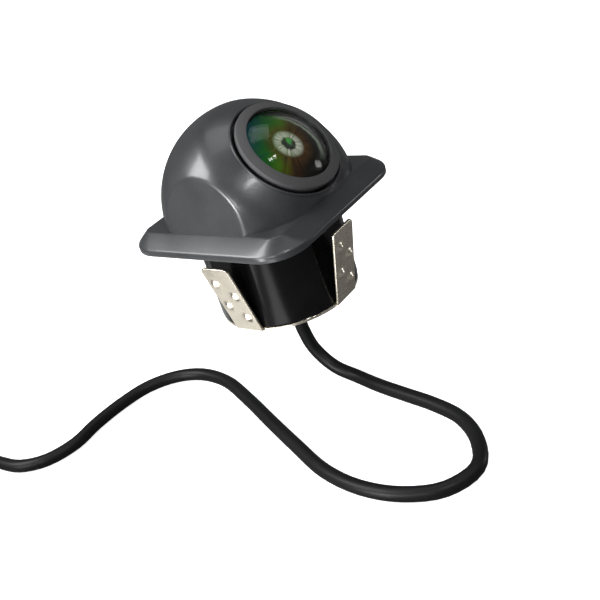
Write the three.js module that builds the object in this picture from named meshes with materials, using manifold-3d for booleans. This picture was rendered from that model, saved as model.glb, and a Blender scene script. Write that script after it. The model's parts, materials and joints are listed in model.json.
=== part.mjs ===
// A flush-mount rear-view camera for a truck or trailer. A die-cast dome on a square flange holds a
// tilted fisheye lens. A round barrel goes through a drilled hole, four sheet-metal spring leaves
// grip behind the panel, and a cable leaves the barrel's bottom and ends in a round plug.
//
// Millimetres, +Z up. The origin is on the barrel's axis, in the plane of the flange's underside,
// which rests on the panel. The lens looks along -Y and up.

import * as THREE from 'three';
import { ConvexGeometry } from 'three/addons/geometries/ConvexGeometry.js';
import { mergeVertices } from 'three/addons/utils/BufferGeometryUtils.js';
import Module from 'manifold-3d';

const wasm = await Module();
wasm.setup();

// Gaps between neighbours.
const REST_GAP = 0.05; // faces that rest on each other
const TURNED_GAP = 0.3; // faces that meet inside a turned group

// Flange, a square plate with a wide bevel all round.
const FLANGE_HALF = 17;
const FLANGE_CORNER = 6.1;
const FLANGE_WALL = 1.08; // height of the upright edge below the bevel
const FLANGE_TOP = 2.94;
const FLANGE_TOP_HALF = 14.17;
const FLANGE_TOP_CORNER = 1.65;
const FLANGE_FLOOR = 1.5; // thickness left under the dome's cavity

// Dome, a ball trimmed by four drafted side faces.
const DOME_Z = 2.3;
const DOME_R = 16.1;
const SIDE_HALF = 14.05; // half distance between opposite side faces, at the flange's top
const SIDE_DRAFT = THREE.MathUtils.degToRad(7.35);
const DOME_WALL = 2.0;
const CAVITY_R = 13.3;

// Lens tilt: the lens axis rises this much from the flange plane, towards -Y.
const LENS_RISE = THREE.MathUtils.degToRad(44.5);

// Barrel.
const BARREL_R = 12.3;
const BARREL_BORE = 10.9;
const BARREL_BOTTOM = -15.75;
const BARREL_FLOOR = 1.55;
const SPIGOT_R = 10.8;
const SPIGOT_BORE = 10;
const SPIGOT_TOP = 1.2;
const SEAT_RECESS = 0.3; // the barrel's shoulder sits this deep in the flange's underside
const SOCKET_R = 11; // bore in the dome housing that takes the spigot
const FLAT_DISTANCE = 11.55; // the barrel's four flats behind the leaves
const FLAT_TOP = -1.7;
const BOSS_R = 4; // threaded boss under the barrel, for the bracket's nut
const BOSS_BOTTOM = -18;
const CABLE_HOLE = 2;

// Spring bracket.
const SHEET = 0.5;
const LEAF_HINGE_R = 11.9;
const LEAF_HINGE_Z = -16.1;
const LEAF_WIDTH = 5.7;
const LEAF_LENGTH = 13.9;
const LEAF_CORNER = 0.9;
const LEAF_FLARE = THREE.MathUtils.degToRad(13.5);
const BUMP_R = 0.95;
const BUMP_RISE = 0.5;
const BUMP_ACROSS = 1.3;
const BUMPS = [[-1, 5.5], [-1, 10.5], [1, 3.1], [1, 7.9]]; // side of the leaf, height on it
const NUT_FLATS = 10;

// Electronics.
const SENSOR_BOARD_HALF = 7.2;
const POWER_BOARD_R = 9.6;
const POWER_BOARD_TOP = -8.6;
const BOARD = 1;
const POST_RADIUS = 8; // distance of the board's posts and screws from the axis
const POST_R = 1.25;
const POST_HOLE = 0.6;

// Cable. It leaves the grommet straight down and lies on a surface below the barrel.
const CABLE_R = 1.2;
const GROMMET_END = -20.8;
const LYING_Z = -33; // the lying cable's centre line
const FLOOR_Z = LYING_Z - CABLE_R;
const CABLE_ROUTE = [
  [0, 0, GROMMET_END - REST_GAP], [0, -0.1, -24], [0, -1.3, -28.2], [0, -4.7, -31.7],
  [-0.3, -9.5, LYING_Z], [-1.8, -15, LYING_Z], [-3, -21, LYING_Z], [-4.2, -27, LYING_Z],
  [-6.3, -32.8, LYING_Z], [-10.6, -37.6, LYING_Z], [-16, -40, LYING_Z], [-21.4, -37.5, LYING_Z],
  [-24.3, -31.9, LYING_Z], [-25, -25, LYING_Z], [-23.5, -17.5, LYING_Z], [-19.8, -9.5, LYING_Z],
  [-15.6, -1, LYING_Z], [-10.9, 8.3, LYING_Z], [-7.5, 16.2, LYING_Z], [-6.9, 22.9, LYING_Z],
  [-8.8, 28, LYING_Z], [-13, 32, LYING_Z], [-18.9, 33.9, LYING_Z], [-25.6, 34.6, LYING_Z],
  [-31.2, 34.4, LYING_Z], [-36.5, 36.6, LYING_Z], [-39.5, 41, LYING_Z], [-40.1, 46.5, LYING_Z],
  [-40.1, 52.3, LYING_Z],
];
const CABLE_STEPS = 62;

// Coil of the spare cable: three turns side by side, two layers high.
const COIL_X = -54.5;
const COIL_Y = 61.2;
const COIL_MID_R = 12;
const COIL_ACROSS = 3;
const COIL_LAYERS = 2;
const COIL_OUTER_R = COIL_MID_R + COIL_ACROSS * CABLE_R;
const COIL_INNER_R = COIL_MID_R - COIL_ACROSS * CABLE_R;
const COIL_TOP = FLOOR_Z + COIL_LAYERS * 2 * CABLE_R;
const TIE_WIDTH = 3;
const TIE_THICK = 0.6;
const TIE_GAP = 0.2;

// Plug. Its own z runs from the boot's tail to the mouth.
const PLUG_X = -68.2;
const PLUG_TAIL_Y = 46;
const NUT_R = 7.3;
const PLUG_Z = FLOOR_Z + NUT_R;
const TAIL_ROUTE = [
  [-68.7, 52, -29.3], [-68.4, 49.8, -28.1], [-68.25, 47.8, -27.2],
  [PLUG_X, PLUG_TAIL_Y + TURNED_GAP, PLUG_Z],
];
const PIN_CIRCLE = 2;
const PIN_R = 0.45;

const LEAVES = [
  ['front', 0, -1],
  ['left', -1, 0],
  ['back', 0, 1],
  ['right', 1, 0],
];

const FINISHES = {
  castMetal: [0x47494b, 0.42, 0.75],
  retainer: [0x454646, 0.6, 0.4],
  glass: [0x0d2418, 0.05, 0.1],
  innerGlass: [0x2c4236, 0.08, 0.1],
  blackTube: [0x101010, 0.6, 0.3],
  rubber: [0x151515, 0.85, 0],
  nickel: [0xd9d3c2, 0.3, 0.9],
  glossBlack: [0x0a0a0b, 0.2, 0.1],
  board: [0x14502c, 0.5, 0.05],
  chip: [0x1b1b1d, 0.55, 0.05],
  canMetal: [0xb9bcc0, 0.35, 0.9],
  steel: [0x9a9da0, 0.35, 0.95],
  whiteNylon: [0xe6e2d6, 0.55, 0],
  flex: [0xb8742a, 0.45, 0.1],
  cable: [0x121212, 0.5, 0],
  plugBody: [0x17181a, 0.5, 0],
  brass: [0xc9a14a, 0.3, 0.95],
  tie: [0x1c1c1c, 0.6, 0],
  red: [0xb01e1a, 0.5, 0],
  black: [0x141414, 0.5, 0],
  yellow: [0xd8b323, 0.5, 0],
  white: [0xe4e4e0, 0.5, 0],
};

const camera = new THREE.Group();

function place(parent, name, finish, geometry) {
  const [color, roughness, metalness] = FINISHES[finish];
  const material = new THREE.MeshStandardMaterial({ color, roughness, metalness });
  const mesh = new THREE.Mesh(geometry, material);
  mesh.name = name;
  parent.add(mesh);
  return mesh;
}

// Joins shared vertices, drops triangles without area and makes a solid of the rest.
function solid(geometry) {
  const bare = geometry.clone();
  bare.deleteAttribute('normal');
  bare.deleteAttribute('uv');
  const merged = mergeVertices(bare, 1e-5);
  const corners = merged.index.array;
  const kept = [];
  for (let i = 0; i < corners.length; i += 3) {
    const [a, b, c] = corners.slice(i, i + 3);
    if (a !== b && b !== c && c !== a) kept.push(a, b, c);
  }
  return new wasm.Manifold(new wasm.Mesh({
    numProp: 3,
    vertProperties: Float32Array.from(merged.attributes.position.array),
    triVerts: Uint32Array.from(kept),
  }));
}

function geometryOf(body) {
  const { vertProperties, triVerts, numProp } = body.getMesh();
  const positions = new Float32Array((vertProperties.length / numProp) * 3);
  for (let i = 0; i * numProp < vertProperties.length; i += 1) {
    positions.set(vertProperties.subarray(i * numProp, i * numProp + 3), i * 3);
  }
  const geometry = new THREE.BufferGeometry();
  geometry.setAttribute('position', new THREE.BufferAttribute(positions, 3));
  geometry.setIndex(Array.from(triVerts));
  geometry.computeVertexNormals();
  return geometry;
}

// A turned body about Z. The profile is [radius, height] pairs. It starts and ends on the axis, or
// is closed here.
function turned(profile, segments) {
  const onAxis = profile[0][0] === 0 && profile[profile.length - 1][0] === 0;
  const loop = onAxis ? [...profile] : [...profile, profile[0]];
  let area = 0;
  for (let i = 0; i < loop.length; i += 1) {
    const [r0, h0] = loop[i];
    const [r1, h1] = loop[(i + 1) % loop.length];
    area += r0 * h1 - r1 * h0;
  }
  if (area < 0) loop.reverse();
  const points = loop.map(([r, h]) => new THREE.Vector2(r, h));
  return new THREE.LatheGeometry(points, segments).rotateX(Math.PI / 2);
}

function cylinder(radius, from, to, segments) {
  return turned([[0, from], [radius, from], [radius, to], [0, to]], segments);
}

function box(x0, x1, y0, y1, z0, z1) {
  const geometry = new THREE.BoxGeometry(x1 - x0, y1 - y0, z1 - z0);
  return geometry.translate((x0 + x1) / 2, (y0 + y1) / 2, (z0 + z1) / 2);
}

// Points of a circular arc in [radius, height] pairs, both ends included.
function arc(centreHeight, radius, fromRadius, toRadius, steps, side) {
  const a0 = Math.asin(fromRadius / radius);
  const a1 = Math.asin(toRadius / radius);
  return Array.from({ length: steps + 1 }, (_, i) => {
    const a = a0 + ((a1 - a0) * i) / steps;
    const r = i === 0 ? fromRadius : i === steps ? toRadius : radius * Math.sin(a);
    return [r, centreHeight + side * radius * Math.cos(a)];
  });
}

function ring(minor, radius, height, sides) {
  return Array.from({ length: sides }, (_, i) => {
    const a = (2 * Math.PI * i) / sides;
    return [radius + minor * Math.cos(a), height + minor * Math.sin(a)];
  });
}

function roundedSquare(half, corner, z, steps) {
  const points = [];
  for (let side = 0; side < 4; side += 1) {
    const start = (side * Math.PI) / 2;
    const turn = new THREE.Vector2(half - corner, half - corner)
      .rotateAround(new THREE.Vector2(), start);
    for (let i = 0; i <= steps; i += 1) {
      const a = start + (Math.PI / 2) * (i / steps);
      points.push(new THREE.Vector3(turn.x + corner * Math.cos(a), turn.y + corner * Math.sin(a), z));
    }
  }
  return points;
}

// A four-sided block whose sides lean inwards by the draft, from half at the flange's top.
function draftedBlock(half, from, to) {
  const points = [];
  for (const z of [from, to]) {
    const h = half - Math.tan(SIDE_DRAFT) * (z - FLANGE_TOP);
    for (const [x, y] of [[h, h], [-h, h], [-h, -h], [h, -h]]) points.push(new THREE.Vector3(x, y, z));
  }
  return new ConvexGeometry(points);
}

function polygon(sides, radius) {
  const shape = new THREE.Shape();
  for (let i = 0; i < sides; i += 1) {
    const a = (2 * Math.PI * i) / sides;
    if (i === 0) shape.moveTo(radius, 0);
    else shape.lineTo(radius * Math.cos(a), radius * Math.sin(a));
  }
  shape.closePath();
  return shape;
}

function tube(route, radius, sides, steps) {
  const path = new THREE.CatmullRomCurve3(route.map((p) => new THREE.Vector3(...p)), false, 'centripetal');
  return new THREE.ExtrudeGeometry(polygon(sides, radius), { steps, extrudePath: path, curveSegments: 1 });
}

// The group whose z runs along the lens axis, with its origin at the dome's centre.
const lensGroup = new THREE.Group();
lensGroup.position.set(0, 0, DOME_Z);
lensGroup.rotation.x = Math.PI / 2 - LENS_RISE;
camera.add(lensGroup);
lensGroup.updateMatrix();

function alongLens(geometry) {
  return geometry.applyMatrix4(lensGroup.matrix);
}

// Lens axis stations, as distances from the dome's centre.
const LIP_TOP = 12.3;
const LIP_R = 9.4;
const GROOVE_R = 8.95;
const GROOVE_BOTTOM = 11.2;
const RETAINER_BORE = 8.5;
const LEDGE_TOP = 7.7;
const LEDGE_BOTTOM = 7;
const LEDGE_BORE = 6.2;

function domeHousing() {
  const flange = new ConvexGeometry([
    ...roundedSquare(FLANGE_HALF, FLANGE_CORNER, 0, 6),
    ...roundedSquare(FLANGE_HALF, FLANGE_CORNER, FLANGE_WALL, 6),
    ...roundedSquare(FLANGE_TOP_HALF, FLANGE_TOP_CORNER, FLANGE_TOP, 3),
  ]);
  const ball = new THREE.SphereGeometry(DOME_R, 48, 24).rotateX(Math.PI / 2).translate(0, 0, DOME_Z);
  const cavityBall = new THREE.SphereGeometry(CAVITY_R, 28, 14).rotateX(Math.PI / 2)
    .translate(0, 0, DOME_Z);
  const dome = solid(ball).intersect(solid(draftedBlock(SIDE_HALF, FLANGE_WALL, DOME_R * 2)));
  const cavity = solid(cavityBall)
    .intersect(solid(draftedBlock(SIDE_HALF - DOME_WALL, FLANGE_FLOOR, DOME_R * 2)));
  const lip = turned([
    [LEDGE_BORE, LEDGE_BOTTOM], [LIP_R, LEDGE_BOTTOM], [LIP_R, LIP_TOP], [GROOVE_R, LIP_TOP],
    [GROOVE_R, GROOVE_BOTTOM], [RETAINER_BORE, GROOVE_BOTTOM], [RETAINER_BORE, LEDGE_TOP],
    [LEDGE_BORE, LEDGE_TOP],
  ], 40);
  const opening = cylinder((GROOVE_R + LIP_R) / 2, LEDGE_BOTTOM + 0.1, DOME_R + 2, 40);
  const body = solid(flange)
    .add(dome)
    .subtract(cavity)
    .subtract(solid(cylinder(SOCKET_R, -1, FLANGE_FLOOR + 0.5, 40)))
    .subtract(solid(cylinder(BARREL_R + REST_GAP, -1, SEAT_RECESS, 48)))
    .subtract(solid(alongLens(opening)))
    .add(solid(alongLens(lip)));
  return geometryOf(body);
}

place(camera, 'dome_housing', 'castMetal', domeHousing());

// Lens and its retainer, all turned about the lens axis.
place(lensGroup, 'lens_retainer_ring', 'retainer', turned([
  [7.5, 8], [8.2, 8], [8.2, 12.2], [8.65, 12.5], [8.65, 13.25], [7.05, 13.75], [6.95, 13.1],
  [7.5, 13.1],
], 40));
place(lensGroup, 'lens_barrel', 'blackTube', turned([
  [3.2, -1.5], [5.9, -1.5], [5.9, 8], [7.2, 8], [7.2, 12.75], [6.9, 12.75], [6.9, 11.6],
  [5.2, 11.6], [5.2, 8], [4.4, 8], [4.4, 3], [3.2, 3],
], 28));
place(lensGroup, 'front_lens', 'glass', turned([
  ...arc(6.38, 8, 0, 5.2, 4, 1), [6.7, 12.4], [6.7, 13.3],
  ...arc(5.215, 10.5, 6.7, 0, 7, 1).slice(1),
], 32));
place(lensGroup, 'front_lens_seal', 'rubber', turned(ring(0.3, 6.4, 12, 6), 28));
place(lensGroup, 'second_lens', 'innerGlass', turned([
  ...arc(5.3, 5, 0, 4, 3, 1), [5, 8.3], [5, 9.6], ...arc(3.355, 8, 5, 0, 4, 1).slice(1),
], 24));
place(lensGroup, 'lens_spacer', 'blackTube', turned([[3, 6], [4.2, 6], [4.2, 7.3], [3, 7.3]], 20));
place(lensGroup, 'rear_lens_group', 'innerGlass', turned([
  ...arc(10.75, 7.4, 0, 4.1, 3, -1), [4.1, 5], ...arc(-1.1, 7.4, 4.1, 0, 3, 1).slice(1),
], 20));
place(lensGroup, 'ir_cut_filter', 'innerGlass', cylinder(2.9, 0.2, 0.7, 20));

// Lens holder: a threaded tube on a square foot that screws to the sensor's board.
const HOLDER_FOOT = 7;
const HOLDER_BOTTOM = -4.2;
const HOLDER_FOOT_TOP = -3;
const SCREW_OFFSET = 5.7;

function lensHolder() {
  const foot = box(-HOLDER_FOOT, HOLDER_FOOT, -HOLDER_FOOT, HOLDER_FOOT, HOLDER_BOTTOM, HOLDER_FOOT_TOP);
  let body = solid(foot)
    .add(solid(cylinder(7, HOLDER_FOOT_TOP - 0.2, 4, 28)))
    .subtract(solid(cylinder(6.15, HOLDER_BOTTOM - 1, 5, 28)));
  for (const side of [-1, 1]) {
    const hole = cylinder(0.75, HOLDER_BOTTOM - 1, HOLDER_FOOT_TOP + 1, 8);
    body = body.subtract(solid(hole.translate(side * SCREW_OFFSET, side * SCREW_OFFSET, 0)));
  }
  return geometryOf(body);
}

place(lensGroup, 'lens_holder', 'chip', lensHolder());

const SENSOR_BOARD_TOP = HOLDER_BOTTOM - TURNED_GAP;
const SENSOR_BOARD_BOTTOM = SENSOR_BOARD_TOP - BOARD;

function sensorBoard() {
  const h = SENSOR_BOARD_HALF;
  let body = solid(box(-h, h, -h, h, SENSOR_BOARD_BOTTOM, SENSOR_BOARD_TOP));
  for (const side of [-1, 1]) {
    const hole = cylinder(0.75, SENSOR_BOARD_BOTTOM - 1, SENSOR_BOARD_TOP + 1, 8);
    body = body.subtract(solid(hole.translate(side * SCREW_OFFSET, side * SCREW_OFFSET, 0)));
  }
  return geometryOf(body);
}

place(lensGroup, 'sensor_board', 'board', sensorBoard());
place(lensGroup, 'image_sensor', 'chip', box(-4, 4, -4, 4, SENSOR_BOARD_TOP + TURNED_GAP, -3.1));
for (const [name, side] of [['left', -1], ['right', 1]]) {
  const screw = turned([
    [0, SENSOR_BOARD_BOTTOM - 1], [1.2, SENSOR_BOARD_BOTTOM - 1],
    [1.2, SENSOR_BOARD_BOTTOM - TURNED_GAP], [0.45, SENSOR_BOARD_BOTTOM - TURNED_GAP],
    [0.45, HOLDER_FOOT_TOP - 0.2], [0, HOLDER_FOOT_TOP - 0.2],
  ], 10);
  place(lensGroup, `holder_screw_${name}`, 'steel', screw)
    .position.set(side * SCREW_OFFSET, side * SCREW_OFFSET, 0);
}

// A flat flexible strip joins the two boards.
function flexStrip() {
  const width = 5;
  const centre = [[2.1, -4.1], [2.8, -5.7], [3.2, -7.1], [3.2, POWER_BOARD_TOP + REST_GAP]];
  const shape = new THREE.Shape();
  centre.forEach(([y, z], i) => (i === 0 ? shape.moveTo(y, z) : shape.lineTo(y, z)));
  [...centre].reverse().forEach(([y, z]) => shape.lineTo(y + 0.35, z));
  shape.closePath();
  return new THREE.ExtrudeGeometry(shape, { depth: width, bevelEnabled: false })
    .rotateX(Math.PI / 2)
    .rotateZ(Math.PI / 2)
    .translate(-width / 2, 0, 0);
}

place(camera, 'board_flex', 'flex', flexStrip());

// Barrel with its spigot, posts, flats and threaded boss.
const BARREL_FLOOR_TOP = BARREL_BOTTOM + BARREL_FLOOR;
const POWER_BOARD_BOTTOM = POWER_BOARD_TOP - BOARD;

function postPlaces() {
  return [90, 210, 330].map((deg) => {
    const a = THREE.MathUtils.degToRad(deg);
    return [POST_RADIUS * Math.cos(a), POST_RADIUS * Math.sin(a)];
  });
}

function rearHousing() {
  let body = solid(turned([
    [CABLE_HOLE, BOSS_BOTTOM], [BOSS_R, BOSS_BOTTOM], [BOSS_R, BARREL_BOTTOM],
    [BARREL_R - 0.3, BARREL_BOTTOM], [BARREL_R, BARREL_BOTTOM + 0.3],
    [BARREL_R, SEAT_RECESS - REST_GAP], [SPIGOT_R, SEAT_RECESS - REST_GAP], [SPIGOT_R, 0.35],
    [10.3, 0.35], [10.3, 0.95], [SPIGOT_R, 0.95],
    [SPIGOT_R, SPIGOT_TOP], [SPIGOT_BORE, SPIGOT_TOP], [SPIGOT_BORE, -1.5], [BARREL_BORE, -2.5],
    [BARREL_BORE, BARREL_FLOOR_TOP], [CABLE_HOLE, BARREL_FLOOR_TOP],
  ], 48));
  for (const [x, y] of postPlaces()) {
    const post = cylinder(POST_R, BARREL_FLOOR_TOP - 0.3, POWER_BOARD_BOTTOM - REST_GAP, 10);
    const hole = cylinder(POST_HOLE, BARREL_FLOOR_TOP + 0.5, 0, 8);
    body = body
      .add(solid(post.translate(x, y, 0)))
      .subtract(solid(hole.translate(x, y, 0)));
  }
  for (const [, ex, ey] of LEAVES) {
    const deep = 2;
    const flat = box(-5, 5, -FLAT_DISTANCE - deep, -FLAT_DISTANCE, BARREL_BOTTOM - 1, FLAT_TOP);
    body = body.subtract(solid(flat.rotateZ(Math.atan2(ex, -ey))));
  }
  return geometryOf(body);
}

place(camera, 'rear_housing', 'glossBlack', rearHousing());
place(camera, 'housing_seal', 'rubber', turned(ring(0.28, 10.62, 0.65, 6), 32));

function powerBoard() {
  let body = solid(cylinder(POWER_BOARD_R, POWER_BOARD_BOTTOM, POWER_BOARD_TOP, 28));
  for (const [x, y] of postPlaces()) {
    const hole = cylinder(0.7, POWER_BOARD_BOTTOM - 1, POWER_BOARD_TOP + 1, 8);
    body = body.subtract(solid(hole.translate(x, y, 0)));
  }
  return geometryOf(body);
}

place(camera, 'power_board', 'board', powerBoard());
postPlaces().forEach(([x, y], i) => {
  const head = POWER_BOARD_TOP + REST_GAP;
  const screw = turned([
    [0, head - 3.4], [0.45, head - 3.4], [0.45, head], [1.15, head], [1.15, head + 0.7], [0, head + 0.7],
  ], 10);
  place(camera, `board_screw_${i + 1}`, 'steel', screw).position.set(x, y, 0);
});

// Parts under the power board.
const UNDER = POWER_BOARD_BOTTOM - REST_GAP;
place(camera, 'video_chip', 'chip', box(-6.6, -1.2, 1.6, 7, UNDER - 0.9, UNDER));
place(camera, 'regulator_chip', 'chip', box(-6.4, -3.6, -1.7, 1.2, UNDER - 1.3, UNDER));
place(camera, 'power_inductor', 'chip', box(0.6, 3.8, -8.2, -5, UNDER - 2, UNDER));
place(camera, 'crystal', 'canMetal', box(-4, -0.6, -7.4, -6, UNDER - 0.7, UNDER));
place(camera, 'filter_capacitor', 'canMetal', cylinder(1.7, UNDER - 3.3, UNDER, 16))
  .position.set(3.4, 5.4, 0);
place(camera, 'cable_socket', 'whiteNylon', box(-2.6, 0, -4.4, 1.2, UNDER - 2.6, UNDER));
place(camera, 'cable_plug', 'whiteNylon', box(REST_GAP, 2, -4.1, 0.9, UNDER - 2.3, UNDER - 0.3));

// Grommet with its short taper, and the four wires inside it.
const GROMMET_TOP = -13.6;
place(camera, 'cable_grommet', 'rubber', turned([
  [0, GROMMET_END], [1.45, GROMMET_END], [2.1, -18.9], [3.2, -18.8], [3.2, BOSS_BOTTOM - REST_GAP],
  [1.9, BOSS_BOTTOM - REST_GAP], [1.9, BARREL_FLOOR_TOP + REST_GAP],
  [2.9, BARREL_FLOOR_TOP + REST_GAP], [2.9, GROMMET_TOP], [0, GROMMET_TOP],
], 20));
['red', 'black', 'yellow', 'white'].forEach((name, i) => {
  const y = -3.4 + 1.2 * i;
  const route = [
    [2 + REST_GAP, y, -10.9], [3.2, y, -11], [3.9, y * 0.9, -11.7], [3.2, y * 0.7, -12.6],
    [1.6, y * 0.6, -13], [0.8, y * 0.5, GROMMET_TOP + TURNED_GAP],
  ];
  place(camera, `wire_${name}`, name, tube(route, 0.3, 6, 9));
});

// Spring bracket: a disc under the barrel, notched behind each leaf.
const BRACKET_TOP = BARREL_BOTTOM - REST_GAP;
const BRACKET_BOTTOM = BRACKET_TOP - SHEET;

function bracketDisc() {
  let body = solid(turned([
    [BOSS_R + 0.2, BRACKET_BOTTOM], [BARREL_R - 0.1, BRACKET_BOTTOM], [BARREL_R - 0.1, BRACKET_TOP],
    [BOSS_R + 0.2, BRACKET_TOP],
  ], 48));
  for (const [, ex, ey] of LEAVES) {
    const half = LEAF_WIDTH / 2 + 0.3;
    const notch = box(-half, half, -BARREL_R - 1, -11.3, BRACKET_BOTTOM - 1, BRACKET_TOP + 1);
    body = body.subtract(solid(notch.rotateZ(Math.atan2(ex, -ey))));
  }
  return geometryOf(body);
}

place(camera, 'spring_bracket', 'nickel', bracketDisc());

function leafGeometry() {
  const half = LEAF_WIDTH / 2;
  const top = LEAF_LENGTH - LEAF_CORNER;
  const shape = new THREE.Shape();
  shape.moveTo(-half, -SHEET / 2);
  shape.lineTo(half, -SHEET / 2);
  shape.lineTo(half, top);
  shape.absarc(half - LEAF_CORNER, top, LEAF_CORNER, 0, Math.PI / 2);
  shape.lineTo(-half + LEAF_CORNER, LEAF_LENGTH);
  shape.absarc(-half + LEAF_CORNER, top, LEAF_CORNER, Math.PI / 2, Math.PI);
  shape.closePath();
  const plate = new THREE.ExtrudeGeometry(shape, { depth: SHEET, bevelEnabled: false, curveSegments: 3 })
    .translate(0, 0, -SHEET / 2);
  let body = solid(plate);
  const sink = BUMP_R - BUMP_RISE;
  for (const [side, height] of BUMPS) {
    const bump = new THREE.SphereGeometry(BUMP_R, 8, 6).rotateX(Math.PI / 2)
      .translate(side * BUMP_ACROSS, height, SHEET / 2 - sink);
    const outside = box(-half, half, 0, LEAF_LENGTH, 0, BUMP_R * 2);
    body = body.add(solid(bump).intersect(solid(outside)));
  }
  // The leaf stands up along Z with its bumps towards -Y.
  return geometryOf(body).rotateX(Math.PI / 2);
}

for (const [name, ex, ey] of LEAVES) {
  const turn = new THREE.Group();
  turn.rotation.z = Math.atan2(ex, -ey);
  camera.add(turn);
  const leaf = place(turn, `leaf_${name}`, 'nickel', leafGeometry());
  leaf.position.set(0, -LEAF_HINGE_R, LEAF_HINGE_Z);
  leaf.rotation.x = LEAF_FLARE;
}

function bracketNut() {
  const body = solid(new THREE.ExtrudeGeometry(polygon(6, NUT_FLATS / Math.sqrt(3)), {
    depth: 1.4,
    bevelEnabled: false,
  })).subtract(solid(cylinder(BOSS_R + 0.15, -1, 3, 24)));
  return geometryOf(body).translate(0, 0, BRACKET_BOTTOM - REST_GAP - 1.4);
}

place(camera, 'bracket_nut', 'nickel', bracketNut());

// Cable, coil and tie.
place(camera, 'cable', 'cable', tube(CABLE_ROUTE, CABLE_R, 8, CABLE_STEPS));
place(camera, 'cable_coil', 'cable', turned([
  [COIL_INNER_R, FLOOR_Z], [COIL_OUTER_R, FLOOR_Z], [COIL_OUTER_R, COIL_TOP], [COIL_INNER_R, COIL_TOP],
], 36)).position.set(COIL_X, COIL_Y, 0);
place(camera, 'cable_tail', 'cable', tube(TAIL_ROUTE, CABLE_R, 8, 6));

function coilTie() {
  const inner = COIL_INNER_R - TIE_GAP;
  const outer = COIL_OUTER_R + TIE_GAP;
  const top = COIL_TOP + TIE_GAP;
  const w = TIE_WIDTH / 2;
  const whole = box(-w, w, inner - TIE_THICK, outer + TIE_THICK, FLOOR_Z, top + TIE_THICK);
  const hollow = box(-w - 1, w + 1, inner, outer, FLOOR_Z - 1, top);
  return geometryOf(solid(whole).subtract(solid(hollow)));
}

place(camera, 'coil_tie', 'tie', coilTie()).position.set(COIL_X, COIL_Y, 0);

// Plug: boot, shell, coupling nut, insert, pins and seal.
const plug = new THREE.Group();
plug.position.set(PLUG_X, PLUG_TAIL_Y, PLUG_Z);
plug.rotation.x = Math.PI / 2;
camera.add(plug);

place(plug, 'plug_boot', 'rubber', turned([
  [0, 0], [1.5, 0], [2.2, 3], [3.4, 8.7], [0, 8.7],
], 20));
place(plug, 'plug_shell', 'plugBody', turned([
  [0, 9], [4.6, 9], [5.6, 10], [5.6, 16], [4.9, 16], [4.9, 18], [6.2, 18], [6.2, 19], [4.9, 19],
  [4.9, 27], [4.3, 27], [4.3, 19], [0, 19],
], 28));
place(plug, 'plug_seal', 'rubber', turned([
  [5.15, 19.3], [6, 19.3], [6, 20.2], [5.15, 20.2],
], 24));
place(plug, 'plug_insert', 'chip', cylinder(4, 19.3, 21.8, 20));
for (let i = 0; i < 4; i += 1) {
  const a = Math.PI / 4 + (i * Math.PI) / 2;
  place(plug, `contact_pin_${i + 1}`, 'brass', cylinder(PIN_R, 22.1, 26.2, 8))
    .position.set(PIN_CIRCLE * Math.cos(a), PIN_CIRCLE * Math.sin(a), 0);
}
place(plug, 'coupling_nut', 'canMetal', turned([
  [5.2, 16.4], [6.9, 16.4], [NUT_R, 16.9], [NUT_R, 27.6], [6.9, 28], [6.6, 28], [6.6, 17.6],
  [5.2, 17.6],
], 24));

export default camera;
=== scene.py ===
"""A flush-mount rear-view camera with its spring bracket, cable and screw plug.

The visible pieces are made here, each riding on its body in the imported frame.
"""

import json
import math

import bmesh
import bpy
import numpy as np
from mathutils import Matrix, Vector


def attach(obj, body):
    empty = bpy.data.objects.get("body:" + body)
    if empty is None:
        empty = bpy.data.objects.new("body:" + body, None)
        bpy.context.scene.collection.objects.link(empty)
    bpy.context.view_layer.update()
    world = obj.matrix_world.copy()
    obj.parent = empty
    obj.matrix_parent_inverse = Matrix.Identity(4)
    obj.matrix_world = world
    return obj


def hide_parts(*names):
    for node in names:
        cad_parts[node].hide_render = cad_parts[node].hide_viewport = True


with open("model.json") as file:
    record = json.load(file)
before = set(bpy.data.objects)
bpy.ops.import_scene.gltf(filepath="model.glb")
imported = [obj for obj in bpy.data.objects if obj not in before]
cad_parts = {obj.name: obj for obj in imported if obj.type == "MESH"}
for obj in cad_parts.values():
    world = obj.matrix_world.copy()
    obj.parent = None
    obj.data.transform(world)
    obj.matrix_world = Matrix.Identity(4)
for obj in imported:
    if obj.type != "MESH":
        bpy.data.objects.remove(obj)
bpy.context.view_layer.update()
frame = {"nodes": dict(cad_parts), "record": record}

# Lengths below are in millimetres, and become metres as the meshes are made.
MM = 0.001

# Camera: where it stands, which way its right and its top point, and its lens.
CAMERA_PLACE = (-101.483, -96.694, 55.846)
CAMERA_RIGHT = (0.546, -0.7927, -0.2711)
CAMERA_UP = (0.5351, 0.081, 0.8409)
FOCAL_LENGTH = 54.0
SENSOR_WIDTH = 36.0
NEAREST_SEEN = 5.0

# Head.
FLANGE_HALF = 17.0
FLANGE_CORNER = 6.1
FLANGE_TOP = 2.94
FLANGE_TOP_HALF = 14.17
FLANGE_TOP_CORNER = 1.65
DOME_Z = 2.3
DOME_R = 16.1
SIDE_HALF = 14.05
SIDE_DRAFT = math.radians(7.35)
LENS_RISE = math.radians(44.5)
LIP_TOP = 12.3
LIP_R = 9.4
GROOVE_R = 8.95

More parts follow.
